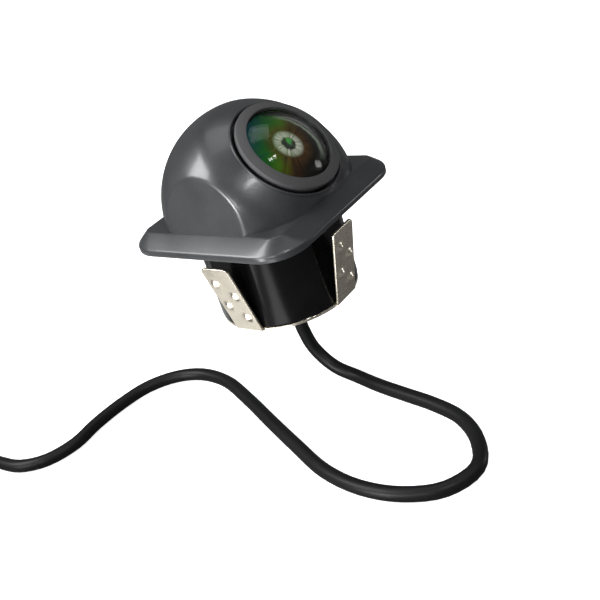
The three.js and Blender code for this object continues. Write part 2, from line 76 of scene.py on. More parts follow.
# Barrel and bracket.
BARREL_R = 12.3
BARREL_BOTTOM = -15.75
FLAT_DISTANCE = 11.55
FLAT_TOP = -1.7
BOSS_R = 4.0
BRACKET_TOP = -15.8
BRACKET_BOTTOM = -16.3
SHEET = 0.5
LEAF_HINGE_R = 11.9
LEAF_HINGE_Z = -16.1
LEAF_WIDTH = 5.7
LEAF_LENGTH = 13.9
LEAF_CORNER = 0.9
LEAF_FLARE = math.radians(13.5)
BUMPS = [(-1, 5.5), (-1, 10.5), (1, 3.1), (1, 7.9)]
BUMP_ACROSS = 1.3
LEAVES = [("front", 0, -1), ("left", -1, 0), ("back", 0, 1), ("right", 1, 0)]

# Cable, coil and plug.
CABLE_R = 1.2
FLOOR_Z = -34.2
LYING_Z = FLOOR_Z + CABLE_R
COIL_X = -54.5
COIL_Y = 61.2
COIL_OUTER = 14.4
COIL_UPPER_Z = FLOOR_Z + 3 * CABLE_R
COIL_TURNS = 5.5
COIL_INNER_SIDE = 8.4
COIL_OUTER_SIDE = 15.6
# Where along the turns the cable moves in or out by its own width, and where it climbs a layer.
COIL_SHIFTS = [(0.95, -2.4), (1.95, -2.4), (3.5, 2.4), (4.5, 2.4)]
COIL_RISE = 2.75
SHIFT_TURNS = 0.25
TURN_STEPS = 24
PLUG_X = -68.2
PLUG_Z = -26.9
PLUG_TAIL_Y = 46.0
DROP_ROUTE = [(0, 0, -20.85), (0, -0.1, -24), (0, -1.3, -28.2), (0, -4.7, -31.7)]
LYING_ROUTE = [
    (-0.3, -9.5), (-1.8, -15), (-3, -21), (-4.2, -27), (-6.3, -32.8), (-10.6, -37.6), (-16, -40),
    (-21.4, -37.5), (-24.3, -31.9), (-25, -25), (-23.5, -17.5), (-19.8, -9.5), (-15.6, -1),
    (-10.9, 8.3), (-7.5, 16.2), (-6.9, 22.9), (-8.8, 28), (-13, 32), (-18.9, 33.9), (-25.6, 34.6),
    (-31.2, 34.4), (-36.5, 36.6), (-39.5, 41), (-40.1, 46.5), (-40.1, 52.3),
]
TAIL_ROUTE = [
    (-68.9, 57.5, -30.4), (-68.85, 54.5, -29.9), (-68.7, 52, -29.3), (-68.4, 49.8, -28.1),
    (-68.25, 47.8, -27.2), (PLUG_X, 46.3, PLUG_Z),
]


# ---------------------------------------------------------------- camera

def make_camera():
    data = bpy.data.cameras.new("camera")
    data.sensor_width = SENSOR_WIDTH
    data.lens = FOCAL_LENGTH
    data.clip_start = NEAREST_SEEN * MM
    camera = bpy.data.objects.new("camera", data)
    bpy.context.scene.collection.objects.link(camera)
    right = Vector(CAMERA_RIGHT)
    up = Vector(CAMERA_UP)
    back = right.cross(up)
    camera.matrix_world = Matrix((right, up, back)).transposed().to_4x4()
    camera.matrix_world.translation = Vector(CAMERA_PLACE) * MM
    bpy.context.scene.camera = camera


make_camera()


# ---------------------------------------------------------------- node helpers

def material(name):
    """A new material, with its node tree and its Principled shader."""
    mat = bpy.data.materials.new(name)
    mat.use_nodes = True
    tree = mat.node_tree
    return mat, tree, tree.nodes["Principled BSDF"]


def node(tree, kind, **inputs):
    """A new node with the given values on its inputs."""
    made = tree.nodes.new(kind)
    for key, value in inputs.items():
        made.inputs[key].default_value = value
    return made


def object_coords(tree):
    return tree.nodes.new("ShaderNodeTexCoord").outputs["Object"]


def noise(tree, size, detail=2.0):
    """Noise whose features are about size millimetres across."""
    made = node(tree, "ShaderNodeTexNoise", Scale=1 / (size * MM), Detail=detail)
    tree.links.new(object_coords(tree), made.inputs["Vector"])
    return made.outputs["Fac"]


def ramp(tree, value, stops):
    """A colour ramp over value; stops are (place, (r, g, b))."""
    made = tree.nodes.new("ShaderNodeValToRGB")
    elements = made.color_ramp.elements
    while len(elements) < len(stops):
        elements.new(0.5)
    for element, (place, colour) in zip(elements, stops):
        element.position = place
        element.color = (*colour, 1.0)
    tree.links.new(value, made.inputs["Fac"])
    return made.outputs["Color"]


def remap(tree, value, low, high, new_low, new_high):
    """Value moved from one range to another, and held within the new one."""
    made = node(tree, "ShaderNodeMapRange", **{
        "From Min": low, "From Max": high, "To Min": new_low, "To Max": new_high})
    tree.links.new(value, made.inputs["Value"])
    return made.outputs["Result"]


def maths(tree, operation, a, b):
    """One step of arithmetic; a and b are sockets or plain numbers."""
    made = tree.nodes.new("ShaderNodeMath")
    made.operation = operation
    for i, value in enumerate((a, b)):
        if isinstance(value, (int, float)):
            made.inputs[i].default_value = value
        else:
            tree.links.new(value, made.inputs[i])
    return made.outputs["Value"]


def bump(tree, shader, height, depth):
    """Bump of depth millimetres between height 0 and 1."""
    made = node(tree, "ShaderNodeBump", Strength=1.0, Distance=depth * MM)
    tree.links.new(height, made.inputs["Height"])
    tree.links.new(made.outputs["Normal"], shader.inputs["Normal"])


def scaled(colour, k):
    return tuple(min(1.0, c * k) for c in colour)


def grey(level):
    return (level, level, level)


COAT_ROUGHNESS = 0.12
SLOW_SHARE = 0.6
TONE_LOW, TONE_HIGH = 0.3, 0.7
ROUGHNESS_SWING = 0.1


def worn_surface(name, colour, roughness, grain, depth, mottle=0.12, metallic=0.0, coat=0.0,
                 specular=0.5, patch=6.0):
    """A finish with fine grain, slow colour variation, and roughness that follows both."""
    mat, tree, shader = material(name)
    shader.inputs["Metallic"].default_value = metallic
    shader.inputs["Specular IOR Level"].default_value = specular
    if coat:
        shader.inputs["Coat Weight"].default_value = coat
        shader.inputs["Coat Roughness"].default_value = COAT_ROUGHNESS
    slow = noise(tree, patch, 3.0)
    fine = noise(tree, grain)
    tone = maths(tree, "ADD", maths(tree, "MULTIPLY", slow, SLOW_SHARE),
                 maths(tree, "MULTIPLY", fine, 1 - SLOW_SHARE))
    colours = ramp(tree, tone, [
        (TONE_LOW, scaled(colour, 1 - mottle)), (TONE_HIGH, scaled(colour, 1 + mottle))])
    tree.links.new(colours, shader.inputs["Base Color"])
    rough = remap(tree, tone, TONE_LOW, TONE_HIGH,
                  roughness * (1 - ROUGHNESS_SWING), roughness * (1 + ROUGHNESS_SWING))
    tree.links.new(rough, shader.inputs["Roughness"])
    bump(tree, shader, fine, depth)
    return mat


# ---------------------------------------------------------------- materials

def cast_paint():
    """Satin gunmetal paint over a die casting: fine orange peel and faint mottling."""
    return worn_surface("gunmetal_paint", (0.05, 0.052, 0.055), 0.33, 0.22, 0.006, metallic=0.45,
                        coat=0.2, specular=0.45, mottle=0.18)


def front_glass():
    """Clear, faintly tinted glass for the domed front lens."""
    mat, tree, shader = material("front_glass")
    shader.inputs["Transmission Weight"].default_value = 1.0
    shader.inputs["IOR"].default_value = 1.2
    shader.inputs["Specular IOR Level"].default_value = 0.1
    tint = ramp(tree, noise(tree, 9.0, 1.0), [(0.3, (0.93, 0.98, 0.94)), (0.7, (0.97, 0.98, 0.93))])
    tree.links.new(tint, shader.inputs["Base Color"])
    haze = remap(tree, noise(tree, 0.5, 2.0), 0.45, 0.75, 0.0, 0.02)
    tree.links.new(haze, shader.inputs["Roughness"])
    return mat


def lens_plane_coords(tree):
    """Distances from the lens axis: sideways along X, up in the lens plane, and in all."""
    coords = object_coords(tree)
    lens_up = (0.0, math.sin(LENS_RISE), math.cos(LENS_RISE))
    outputs = []
    for direction in ((1.0, 0.0, 0.0), lens_up):
        dot = tree.nodes.new("ShaderNodeVectorMath")
        dot.operation = "DOT_PRODUCT"
        tree.links.new(coords, dot.inputs[0])
        dot.inputs[1].default_value = direction
        offset = direction[2] * DOME_Z * MM
        outputs.append(maths(tree, "SUBTRACT", dot.outputs["Value"], offset))
    across, along = outputs
    squares = [maths(tree, "MULTIPLY", v, v) for v in outputs]
    radius = maths(tree, "SQRT", maths(tree, "ADD", *squares), 0.0)
    return across, along, radius


MIX_A, MIX_B, MIX_RESULT = 6, 7, 2  # the mix node's sockets when it mixes colours


def mix_colours(tree, factor, a, b):
    """Colour a where factor is 0, and b where it is 1."""
    made = tree.nodes.new("ShaderNodeMix")
    made.data_type = "RGBA"
    tree.links.new(factor, made.inputs["Factor"])
    tree.links.new(a, made.inputs[MIX_A])
    tree.links.new(b, made.inputs[MIX_B])
    return made.outputs[MIX_RESULT]


ELEMENT_R = 6.6
SWEEP_REACH = 6.2
STREAK_SHAKE = 3.2


def iris_streaks(tree, across, along, radius):
    """Noise that changes only with the angle round the lens axis."""
    spoke = tree.nodes.new("ShaderNodeCombineXYZ")
    for socket, part in zip(("X", "Y"), (across, along)):
        tree.links.new(maths(tree, "DIVIDE", part, radius), spoke.inputs[socket])
    streaks = node(tree, "ShaderNodeTexNoise", Scale=7.0, Detail=3.0)
    tree.links.new(spoke.outputs["Vector"], streaks.inputs["Vector"])
    return streaks.outputs["Fac"]


def painted_reflection_field(tree, side):
    """Painted reflections of the surroundings in the lens, from one side to the other: black, brown, green
    and teal.
    """
    return ramp(tree, side, [
        (0.0, (0.0005, 0.0005, 0.0005)), (0.22, (0.002, 0.0015, 0.001)), (0.38, (0.014, 0.006, 0.002)),
        (0.5, (0.025, 0.022, 0.001)), (0.6, (0.022, 0.06, 0.001)), (0.76, (0.002, 0.04, 0.003)),
        (0.9, (0.001, 0.028, 0.014)), (1.0, (0.003, 0.025, 0.03))])


def brown_reflection_band(tree, field, reach, streaks):
    """A streaked brown band of painted reflection over the field, outside the pale ring."""
    share = ramp(tree, reach, [(0.34, grey(0.0)), (0.42, grey(0.75)), (0.52, grey(0.5)), (0.68, grey(0.0))])
    brown = ramp(tree, streaks, [(0.35, (0.008, 0.004, 0.001)), (0.65, (0.05, 0.024, 0.008))])
    return mix_colours(tree, share, field, brown)


def pale_reflection_ring(tree, field, reach, streaks):
    """A pale streaked ring of painted reflection round the pupil."""
    share = ramp(tree, reach, [(0.17, grey(0.0)), (0.21, grey(0.9)), (0.33, grey(0.7)), (0.41, grey(0.0))])
    pale = ramp(tree, streaks, [(0.35, (0.07, 0.09, 0.05)), (0.65, (0.3, 0.3, 0.27))])
    return mix_colours(tree, share, field, pale)


def pupil(tree, field, reach):
    """A dark pupil in the middle, with painted green glints."""
    glints = ramp(tree, noise(tree, 1.1, 1.0), [(0.54, (0.003, 0.006, 0.003)), (0.66, (0.02, 0.14, 0.02))])
    outside = ramp(tree, reach, [(0.15, grey(0.0)), (0.2, grey(1.0))])
    return mix_colours(tree, outside, glints, field)


def painted_rim_highlight(tree, field, reach, side, across, radius):
    """A painted pale highlight near the rim, shaped as a crescent on the side towards +X."""
    crescent = ramp(tree, reach, [(0.8, grey(0.0)), (0.87, grey(1.0)), (0.92, grey(0.8)), (0.97, grey(0.0))])
    facing = remap(tree, maths(tree, "DIVIDE", across, radius), 0.45, 1.0, 0.0, 0.8)
    share = maths(tree, "MULTIPLY", crescent, facing)
    sheen = ramp(tree, side, [(0.0, (0.16, 0.2, 0.17)), (1.0, (0.2, 0.26, 0.2))])
    return mix_colours(tree, share, field, sheen)


def painted_reflection_element():
    """Reflections painted on the inner element, seen through the glass like an iris round a dark pupil; the
    same colours also make it glow.
    """
    mat, tree, shader = material("painted_reflection_element")
    across, along, radius = lens_plane_coords(tree)
    streaks = iris_streaks(tree, across, along, radius)
    shake = maths(tree, "MULTIPLY", maths(tree, "SUBTRACT", streaks, 0.5), STREAK_SHAKE * MM)
    sweep = maths(tree, "SUBTRACT", maths(tree, "MULTIPLY", along, 0.8),
                  maths(tree, "MULTIPLY", across, 0.6))
    side = remap(tree, maths(tree, "ADD", sweep, shake), -SWEEP_REACH * MM, SWEEP_REACH * MM, 0.0, 1.0)
    wavy = maths(tree, "ADD", radius, maths(tree, "MULTIPLY", shake, 0.3))
    reach = remap(tree, wavy, 0.0, ELEMENT_R * MM, 0.0, 1.0)
    colours = brown_reflection_band(tree, painted_reflection_field(tree, side), reach, streaks)
    colours = pupil(tree, pale_reflection_ring(tree, colours, reach, streaks), reach)
    colours = painted_rim_highlight(tree, colours, reach, side, across, radius)
    tree.links.new(colours, shader.inputs["Base Color"])
    # The painted colours also drive the emission, so the element glows though it is no lamp.
    tree.links.new(colours, shader.inputs["Emission Color"])
    shader.inputs["Emission Strength"].default_value = 0.9
    shader.inputs["Roughness"].default_value = 0.5
    shader.inputs["Specular IOR Level"].default_value = 0.1
    return mat


def plated(name, colour, roughness):
    """Bright plating on pressed or turned metal, with a fine grain."""
    return worn_surface(name, colour, roughness, 0.12, 0.003, metallic=1.0, patch=3.0, mottle=0.1)


MATERIALS = {
    "cast_housing": cast_paint(),
    "retainer": worn_surface("retainer_paint", (0.058, 0.058, 0.06), 0.55, 0.12, 0.004, specular=0.35),
    "lens_tube": worn_surface("tube_black", (0.008, 0.008, 0.008), 0.6, 0.1, 0.004, specular=0.3),
    "front_glass": front_glass(),
    # The inner element: painted reflections that glow.
    "inner_glass": painted_reflection_element(),
    "rubber": worn_surface("seal_rubber", (0.013, 0.013, 0.013), 0.6, 0.15, 0.008, specular=0.3),
    "black_plastic": worn_surface("grained_plastic", (0.012, 0.012, 0.013), 0.42, 0.18, 0.006),
    "circuit_board": worn_surface("solder_mask", (0.015, 0.11, 0.04), 0.3, 0.4, 0.004, coat=0.4),
    "chip": worn_surface("chip_moulding", (0.014, 0.014, 0.016), 0.5, 0.08, 0.003, specular=0.35),
    "screws": plated("zinc_plate", (0.5, 0.5, 0.52), 0.3),
    "flex": worn_surface("amber_film", (0.45, 0.18, 0.04), 0.25, 0.3, 0.002, coat=0.5),
    "barrel_finish": worn_surface("gloss_black", (0.004, 0.004, 0.0045), 0.2, 0.5, 0.003,
                                  specular=0.12),
    "can_metal": plated("tin_can", (0.6, 0.61, 0.62), 0.28),
    "nylon": worn_surface("nylon_white", (0.75, 0.72, 0.64), 0.45, 0.3, 0.005),
    "red_wire": worn_surface("red_insulation", (0.42, 0.012, 0.01), 0.35, 0.3, 0.003),
    "black_wire": worn_surface("black_insulation", (0.008, 0.008, 0.008), 0.35, 0.3, 0.003),
    "yellow_wire": worn_surface("yellow_insulation", (0.65, 0.43, 0.02), 0.35, 0.3, 0.003),
    "white_wire": worn_surface("white_insulation", (0.75, 0.75, 0.73), 0.35, 0.3, 0.003),
    "bracket": plated("warm_nickel", (0.8, 0.74, 0.62), 0.27),
    "cable_jacket": worn_surface("cable_pvc", (0.007, 0.007, 0.0075), 0.4, 0.25, 0.01, specular=0.15),
    "contacts": plated("gold_plate", (0.75, 0.53, 0.2), 0.2),
    "nut_metal": plated("bright_nickel", (0.55, 0.55, 0.54), 0.25),
}


# ---------------------------------------------------------------- mesh helpers

WELD_DISTANCE = 1e-7  # metres


def add_piece(name, points, faces, slot, body="housing", replaces=(), sharp=38.0):
    """A mesh object from points in millimetres; edges sharper than the angle stay crisp."""
    mesh = bpy.data.meshes.new(name)
    mesh.from_pydata([tuple(float(c) * MM for c in p) for p in points], [], faces)
    mesh.validate()
    welded = bmesh.new()
    welded.from_mesh(mesh)
    bmesh.ops.remove_doubles(welded, verts=welded.verts, dist=WELD_DISTANCE)
    bmesh.ops.recalc_face_normals(welded, faces=welded.faces)
    welded.to_mesh(mesh)
    welded.free()
    for polygon in mesh.polygons:
        polygon.use_smooth = True
    mesh.set_sharp_from_angle(angle=math.radians(sharp))
    mesh.materials.append(MATERIALS[slot])
    piece = bpy.data.objects.new(name, mesh)
    bpy.context.scene.collection.objects.link(piece)
    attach(piece, body)
    if replaces:
        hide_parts(*replaces)
    return piece


def rings_to_faces(count, around, closed):
    """Quads between count rings of around points each."""
    faces = []
    for i in range(count if closed else count - 1):
        a = i * around
        b = ((i + 1) % count) * around
        for j in range(around):
            k = (j + 1) % around
            faces.append((a + j, a + k, b + k, b + j))
    return faces


def loft(rings, closed=False):
    """Points and faces of a surface through rings of equal length; open ends are capped."""
    around = len(rings[0])
    points = [p for ring in rings for p in ring]
    faces = rings_to_faces(len(rings), around, closed)
    if not closed:
        faces.append(tuple(range(around))[::-1])
        faces.append(tuple(range((len(rings) - 1) * around, len(rings) * around)))
    return points, faces


SOFT_STEPS = 4
MOST_OF_SIDE = 0.45  # how much of a side one rounded corner may take


def soften(profile, radius):
    """Round the corners of a closed profile; a corner may have its own radius as a third number."""
    out = []
    for i, corner in enumerate(profile):
        here = np.array(corner[:2], dtype=float)
        before = np.array(profile[i - 1][:2], dtype=float)
        after = np.array(profile[(i + 1) % len(profile)][:2], dtype=float)
        wanted = corner[2] if len(corner) > 2 else radius
        if wanted == 0:
            out.append(tuple(here))
            continue
        to_before = before - here
        to_after = after - here
        shorter = min(np.linalg.norm(to_before), np.linalg.norm(to_after))
        cut = min(wanted, MOST_OF_SIDE * shorter)
        start = here + to_before / np.linalg.norm(to_before) * cut
        end = here + to_after / np.linalg.norm(to_after) * cut
        for step in range(SOFT_STEPS + 1):
            t = step / SOFT_STEPS
            out.append(tuple((1 - t) ** 2 * start + 2 * t * (1 - t) * here + t ** 2 * end))
    return out


def turned(profile, around, matrix=None, soft=0.08, shape=None):
    """A closed ring or solid turned about z. shape(angle, r, z) may change a point's radius."""
    matrix = matrix or Matrix.Identity(4)
    rings = []
    for r, z in soften(profile, soft):
        ring = []
        for j in range(around):
            angle = 2 * math.pi * j / around
            radius = max(r, 0.0)
            if shape and radius > 0:
                radius = shape(angle, radius, z)
            ring.append(matrix @ Vector((radius * math.cos(angle), radius * math.sin(angle), z)))
        rings.append(ring)
    return loft(rings, closed=True)


LENS_MATRIX = Matrix.Translation((0, 0, DOME_Z)) @ Matrix.Rotation(math.pi / 2 - LENS_RISE, 4, "X")
PLUG_MATRIX = Matrix.Translation((PLUG_X, PLUG_TAIL_Y, PLUG_Z)) @ Matrix.Rotation(math.pi / 2, 4, "X")


def rounded_square(half, corner, z, arc=14, side=10):
    """A ring round a square with rounded corners, with the same point count whatever its size."""
    def arc_point(quarter, angle):
        diagonal = (quarter + 0.5) * math.pi / 2
        inset = (half - corner) * math.sqrt(2)
        return Vector((inset * math.cos(diagonal) + corner * math.cos(angle),
                       inset * math.sin(diagonal) + corner * math.sin(angle), z))

    ring = []
    for quarter in range(4):
        turn = quarter * math.pi / 2
        ring += [arc_point(quarter, turn + math.pi / 2 * s / arc) for s in range(arc + 1)]
        end = arc_point(quarter + 1, turn + math.pi / 2)
        ring += [ring[-1].lerp(end, s / side) for s in range(1, side)]
    return ring


# ---------------------------------------------------------------- cable

def catmull_rom(points, steps):
    """Points along a centripetal Catmull-Rom curve through points."""
    ends = [2 * points[0] - points[1]] + list(points) + [2 * points[-1] - points[-2]]
    out = []
    for i in range(1, len(ends) - 2):
        near = ends[i - 1:i + 3]
        knots = [0.0]
        for a, b in zip(near, near[1:]):
            knots.append(knots[-1] + math.sqrt(np.linalg.norm(b - a)))
        for s in range(steps):
            t = knots[1] + (knots[2] - knots[1]) * s / steps
            level = near
            for span in (1, 2):
                level = [
                    (level[j] * (knots[j + span] - t) + level[j + 1] * (t - knots[j]))
                    / (knots[j + span] - knots[j])
                    for j in range(len(level) - 1)
                ]
            blend = (t - knots[1]) / (knots[2] - knots[1])
            out.append(level[0] * (1 - blend) + level[1] * blend)
    out.append(points[-1])
    return out


def smooth_step(t):
    """0 up to t = 0 and 1 from t = 1, with a smooth rise between."""
    t = min(max(t, 0.0), 1.0)
    return t * t * (3 - 2 * t)


def coil_route():
    """Three turns inwards on the floor, then back out on top of them, a cable's width at a time."""
    route = []
    for step in range(int(COIL_TURNS * TURN_STEPS) + 1):
        turn = step / TURN_STEPS
        radius = COIL_OUTER
        for start, change in COIL_SHIFTS:
            radius += change * smooth_step((turn - start) / SHIFT_TURNS)
        rise = smooth_step((turn - COIL_RISE) / SHIFT_TURNS)
        z = LYING_Z + (COIL_UPPER_Z - LYING_Z) * rise
        angle = 2 * math.pi * turn
        route.append(np.array((
            COIL_X + radius * math.cos(angle), COIL_Y + radius * math.sin(angle), z)))
    return route


def cable_route():
    """From the grommet down to the floor, along it, round the coil and up to the plug."""
    lead = [np.array(p, dtype=float) for p in DROP_ROUTE]
    lead += [np.array((x, y, LYING_Z)) for x, y in LYING_ROUTE]
    tail = [np.array(p, dtype=float) for p in TAIL_ROUTE]
    return lead + coil_route() + tail


ROUTE_STEPS = 4
CABLE_FACETS = 6


def make_cable():
    """The whole cable as one smooth curve, round in section."""
    route = catmull_rom(cable_route(), ROUTE_STEPS)
    data = bpy.data.curves.new("signal_cable", "CURVE")
    data.dimensions = "3D"
    data.bevel_depth = CABLE_R * MM
    data.bevel_resolution = CABLE_FACETS
    data.use_fill_caps = True
    data.materials.append(MATERIALS["cable_jacket"])
    spline = data.splines.new("POLY")
    spline.points.add(len(route) - 1)
    for point, place in zip(spline.points, route):
        point.co = (*(place * MM), 1.0)
    spline.use_smooth = True
    cable = bpy.data.objects.new("signal_cable", data)
    bpy.context.scene.collection.objects.link(cable)
    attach(cable, "housing")
    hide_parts("cable", "cable_coil", "cable_tail")
    return cable


cable = make_cable()


# ---------------------------------------------------------------- head

def smooth_max(a, b, k):
    """The larger of a and b, with the crease between them rounded over k millimetres."""
    h = np.maximum(k - np.abs(a - b), 0.0) / k
    return np.maximum(a, b) + h * h * k / 4


def smooth_min(a, b, k):
    return -smooth_max(-a, -b, k)


LENS_AXIS = np.array((0.0, -math.cos(LENS_RISE), math.sin(LENS_RISE)))
LENS_UP = np.array((0.0, math.sin(LENS_RISE), math.cos(LENS_RISE)))
DOME_CENTRE = np.array((0.0, 0.0, DOME_Z))
X_AXIS = np.array((1.0, 0.0, 0.0))
SIDE_FILLET = 0.22
COLLAR_FILLET = 2.2
MOUTH_FILLET = 1.0
MOUTH_SLOPE = -0.6
MOUTH_DROP = 0.22  # how far the lip's crest stands above the surface outside it


def head_distance(p):
    """Below zero inside the dome: a ball with four drafted sides, and a collar round the lens."""
    q = p - DOME_CENTRE
    inside = np.linalg.norm(q, axis=-1) - DOME_R
    for _, ex, ey in LEAVES:
        side = (math.cos(SIDE_DRAFT) * (p[..., 0] * ex + p[..., 1] * ey - SIDE_HALF)
                + math.sin(SIDE_DRAFT) * (p[..., 2] - FLANGE_TOP))
        inside = smooth_max(inside, side, SIDE_FILLET)
    station = q @ LENS_AXIS
    across = np.sqrt(np.maximum((q * q).sum(-1) - station ** 2, 0.0))
    collar = np.maximum(across - LIP_R, -station)
    joined = smooth_min(inside, collar, COLLAR_FILLET)
    mouth = station - (LIP_TOP - MOUTH_DROP) - MOUTH_SLOPE * (across - LIP_R)
    return smooth_max(joined, mouth, MOUTH_FILLET)


RAY_REACH = 25.0  # further than any point of the dome
RAY_HALVINGS = 36


def cast_rays(directions):
    """Where rays from the dome's centre leave it, by bisection."""
    near = np.zeros(directions.shape[:-1])
    far = np.full(directions.shape[:-1], RAY_REACH)
    for _ in range(RAY_HALVINGS):
        middle = (near + far) / 2
        outside = head_distance(DOME_CENTRE + directions * middle[..., None]) > 0
        far = np.where(outside, middle, far)
        near = np.where(outside, near, middle)
    return DOME_CENTRE + directions * near[..., None]


DOME_AROUND = 360
DOME_RINGS = 170
DOME_SINK = 0.4  # how far the dome runs down inside the flange


def dome_rings():
    """Rings from the lens lip out and down to the flange."""
    lip_angle = math.atan2(LIP_R, LIP_TOP)
    turn = np.arange(DOME_AROUND) * 2 * math.pi / DOME_AROUND
    cosine, sine = np.cos(turn)[:, None], np.sin(turn)[:, None]
    lip = (LENS_AXIS * math.cos(lip_angle)
           + (X_AXIS * cosine + LENS_UP * sine) * math.sin(lip_angle))
    foot_rise = (FLANGE_TOP - DOME_SINK - DOME_Z) / SIDE_HALF
    foot = np.concatenate((cosine, sine, np.full_like(cosine, foot_rise)), axis=1)
    foot /= np.linalg.norm(foot, axis=1)[:, None]
    gap = np.arccos(np.clip((lip * foot).sum(1), -1, 1))[:, None]
    rings = [DOME_CENTRE + lip * math.hypot(LIP_R, LIP_TOP)]
    for i in range(1, DOME_RINGS + 1):
        t = i / DOME_RINGS
        directions = (lip * np.sin((1 - t) * gap) + foot * np.sin(t * gap)) / np.sin(gap)
        rings.append(cast_rays(directions))
    return rings


# The mouth inside the lip, as distance from the lens axis and along it: its rounded crest, the
# groove round the lens ring, and the ledges behind the glass.
MOUTH = [(9.38, 12.38), (9.3, 12.43), (9.18, 12.41), (9.08, 12.37), (9.0, 12.27), (GROOVE_R, 12.1),
         (GROOVE_R, 11.35), (8.9, 11.22), (8.8, 11.2), (8.5, 11.2), (8.5, 7.7), (6.2, 7.7), (6.2, 7.0)]


def mouth_rings():
    """Rings from the lip's crest down into the mouth."""
    turn = np.arange(DOME_AROUND) * 2 * math.pi / DOME_AROUND
    spokes = X_AXIS * np.cos(turn)[:, None] + LENS_UP * np.sin(turn)[:, None]
    return [DOME_CENTRE + LENS_AXIS * s + spokes * r for r, s in MOUTH]


# The flange from its underside up over the bevel: half its width, its corners' radius, height.
FLANGE_PROFILE = [
    (FLANGE_HALF - 0.1, FLANGE_CORNER - 0.1, 0.0), (FLANGE_HALF, FLANGE_CORNER, 0.12),
    (FLANGE_HALF, FLANGE_CORNER, 0.82), (FLANGE_HALF - 0.04, FLANGE_CORNER - 0.03, 0.96),
    (FLANGE_HALF - 0.14, FLANGE_CORNER - 0.18, 1.1), (FLANGE_HALF - 0.32, FLANGE_CORNER - 0.45, 1.25),
    (FLANGE_TOP_HALF + 0.22, FLANGE_TOP_CORNER + 0.35, 2.8),
    (FLANGE_TOP_HALF + 0.08, FLANGE_TOP_CORNER + 0.15, 2.88),
    (FLANGE_TOP_HALF - 0.08, FLANGE_TOP_CORNER, 2.93),
    (FLANGE_TOP_HALF - 0.25, FLANGE_TOP_CORNER, FLANGE_TOP),
    (11.5, 1.2, FLANGE_TOP),
]


HOLE_GAP = 0.1
HOLE_TOP = 1.2


def make_head():
    """The dome and the flange in one piece, with a hole below for the barrel."""
    rings = [list(map(Vector, ring)) for ring in mouth_rings()[::-1] + dome_rings()]
    points, faces = loft(rings)
    flange = [rounded_square(half, corner, z) for half, corner, z in FLANGE_PROFILE]
    around = len(flange[0])
    hole = [Vector((p.x, p.y, 0)).normalized() * (BARREL_R + HOLE_GAP) for p in flange[0]]
    hole_top = [p + Vector((0, 0, HOLE_TOP)) for p in hole]
    flange_points, flange_faces = loft([hole_top, hole] + flange)
    start = len(points)
    points += flange_points
    faces += [tuple(start + i for i in face) for face in flange_faces]
    add_piece("camera_head", points, faces, "cast_housing", replaces=["dome_housing"], sharp=50.0)


make_head()


# ---------------------------------------------------------------- lens

GLASS_CURVE, GLASS_APEX, GLASS_RIM = 10.5, 15.7, 6.9
GLASS_BACK_CURVE, GLASS_BACK_APEX, GLASS_BACK_RIM = 9.7, 14.9, 6.45
ELEMENT_APEX, ELEMENT_CROWN = 13.2, 0.85


def dome_arc(curve, apex, rim, steps):
    """Profile points on a ball's cap, from its apex out to the rim radius."""
    arc = []
    for i in range(steps + 1):
        angle = math.asin(rim / curve) * i / steps
        arc.append((curve * math.sin(angle), apex - curve * (1 - math.cos(angle)), 0))
    return arc


def make_lens_ring():
    ring = [(7.5, 8, 0), (8.2, 8, 0), (8.2, 12.2, 0.05), (8.65, 12.5, 0.1), (8.65, 13.25, 0.12),
            (7.05, 13.75, 0.12), (6.95, 13.1, 0.05), (7.5, 13.1, 0)]
    add_piece("lens_ring", *turned(ring, 160, LENS_MATRIX), "retainer", replaces=["lens_retainer_ring"])


def make_front_glass():
    """A thin domed shell of glass, held by its rim."""
    back = dome_arc(GLASS_BACK_CURVE, GLASS_BACK_APEX, GLASS_BACK_RIM, 16)
    front = dome_arc(GLASS_CURVE, GLASS_APEX, GLASS_RIM, 24)
    glass = back + [(6.6, 12.45, 0), (GLASS_RIM, 12.55, 0.05)] + front[::-1]
    add_piece("front_glass", *turned(glass, 128, LENS_MATRIX), "front_glass", replaces=["front_lens"])


def make_painted_reflection_lens():
    """The gently crowned element behind the glass, which carries the painted reflections and glows with
    them.
    """
    bowl = [(0, 10.4, 0), (6.4, 10.4, 0.1), (ELEMENT_R, 12.3, 0.1)]
    for i in range(13):
        out = 1 - i / 12
        bowl.append((ELEMENT_R * out, ELEMENT_APEX - ELEMENT_CROWN * out ** 2, 0))
    add_piece("painted_reflection_lens", *turned(bowl, 96, LENS_MATRIX), "inner_glass", replaces=["second_lens"])


make_lens_ring()
make_front_glass()
make_painted_reflection_lens()


# ---------------------------------------------------------------- barrel

SKIN = 1.2  # points this near the outside follow the flats
FLAT_EDGE = 0.12
FLAT_FADE = 0.35


def off_quarter(angle):
    """How far an angle is from the nearest of the four leaves."""
    return (angle + math.pi / 4) % (math.pi / 2) - math.pi / 4


def barrel_radius(angle, r, z):
    """The barrel's outside is cut by four flats below the flats' top edge."""
    if r < BARREL_R - SKIN:
        return r
    depth = FLAT_DISTANCE + SKIN * smooth_step((z - FLAT_TOP + 0.25) / FLAT_FADE)
    flat = (depth - (BARREL_R - r)) / math.cos(off_quarter(angle))
    return float(smooth_min(np.float64(r), np.float64(flat), FLAT_EDGE))


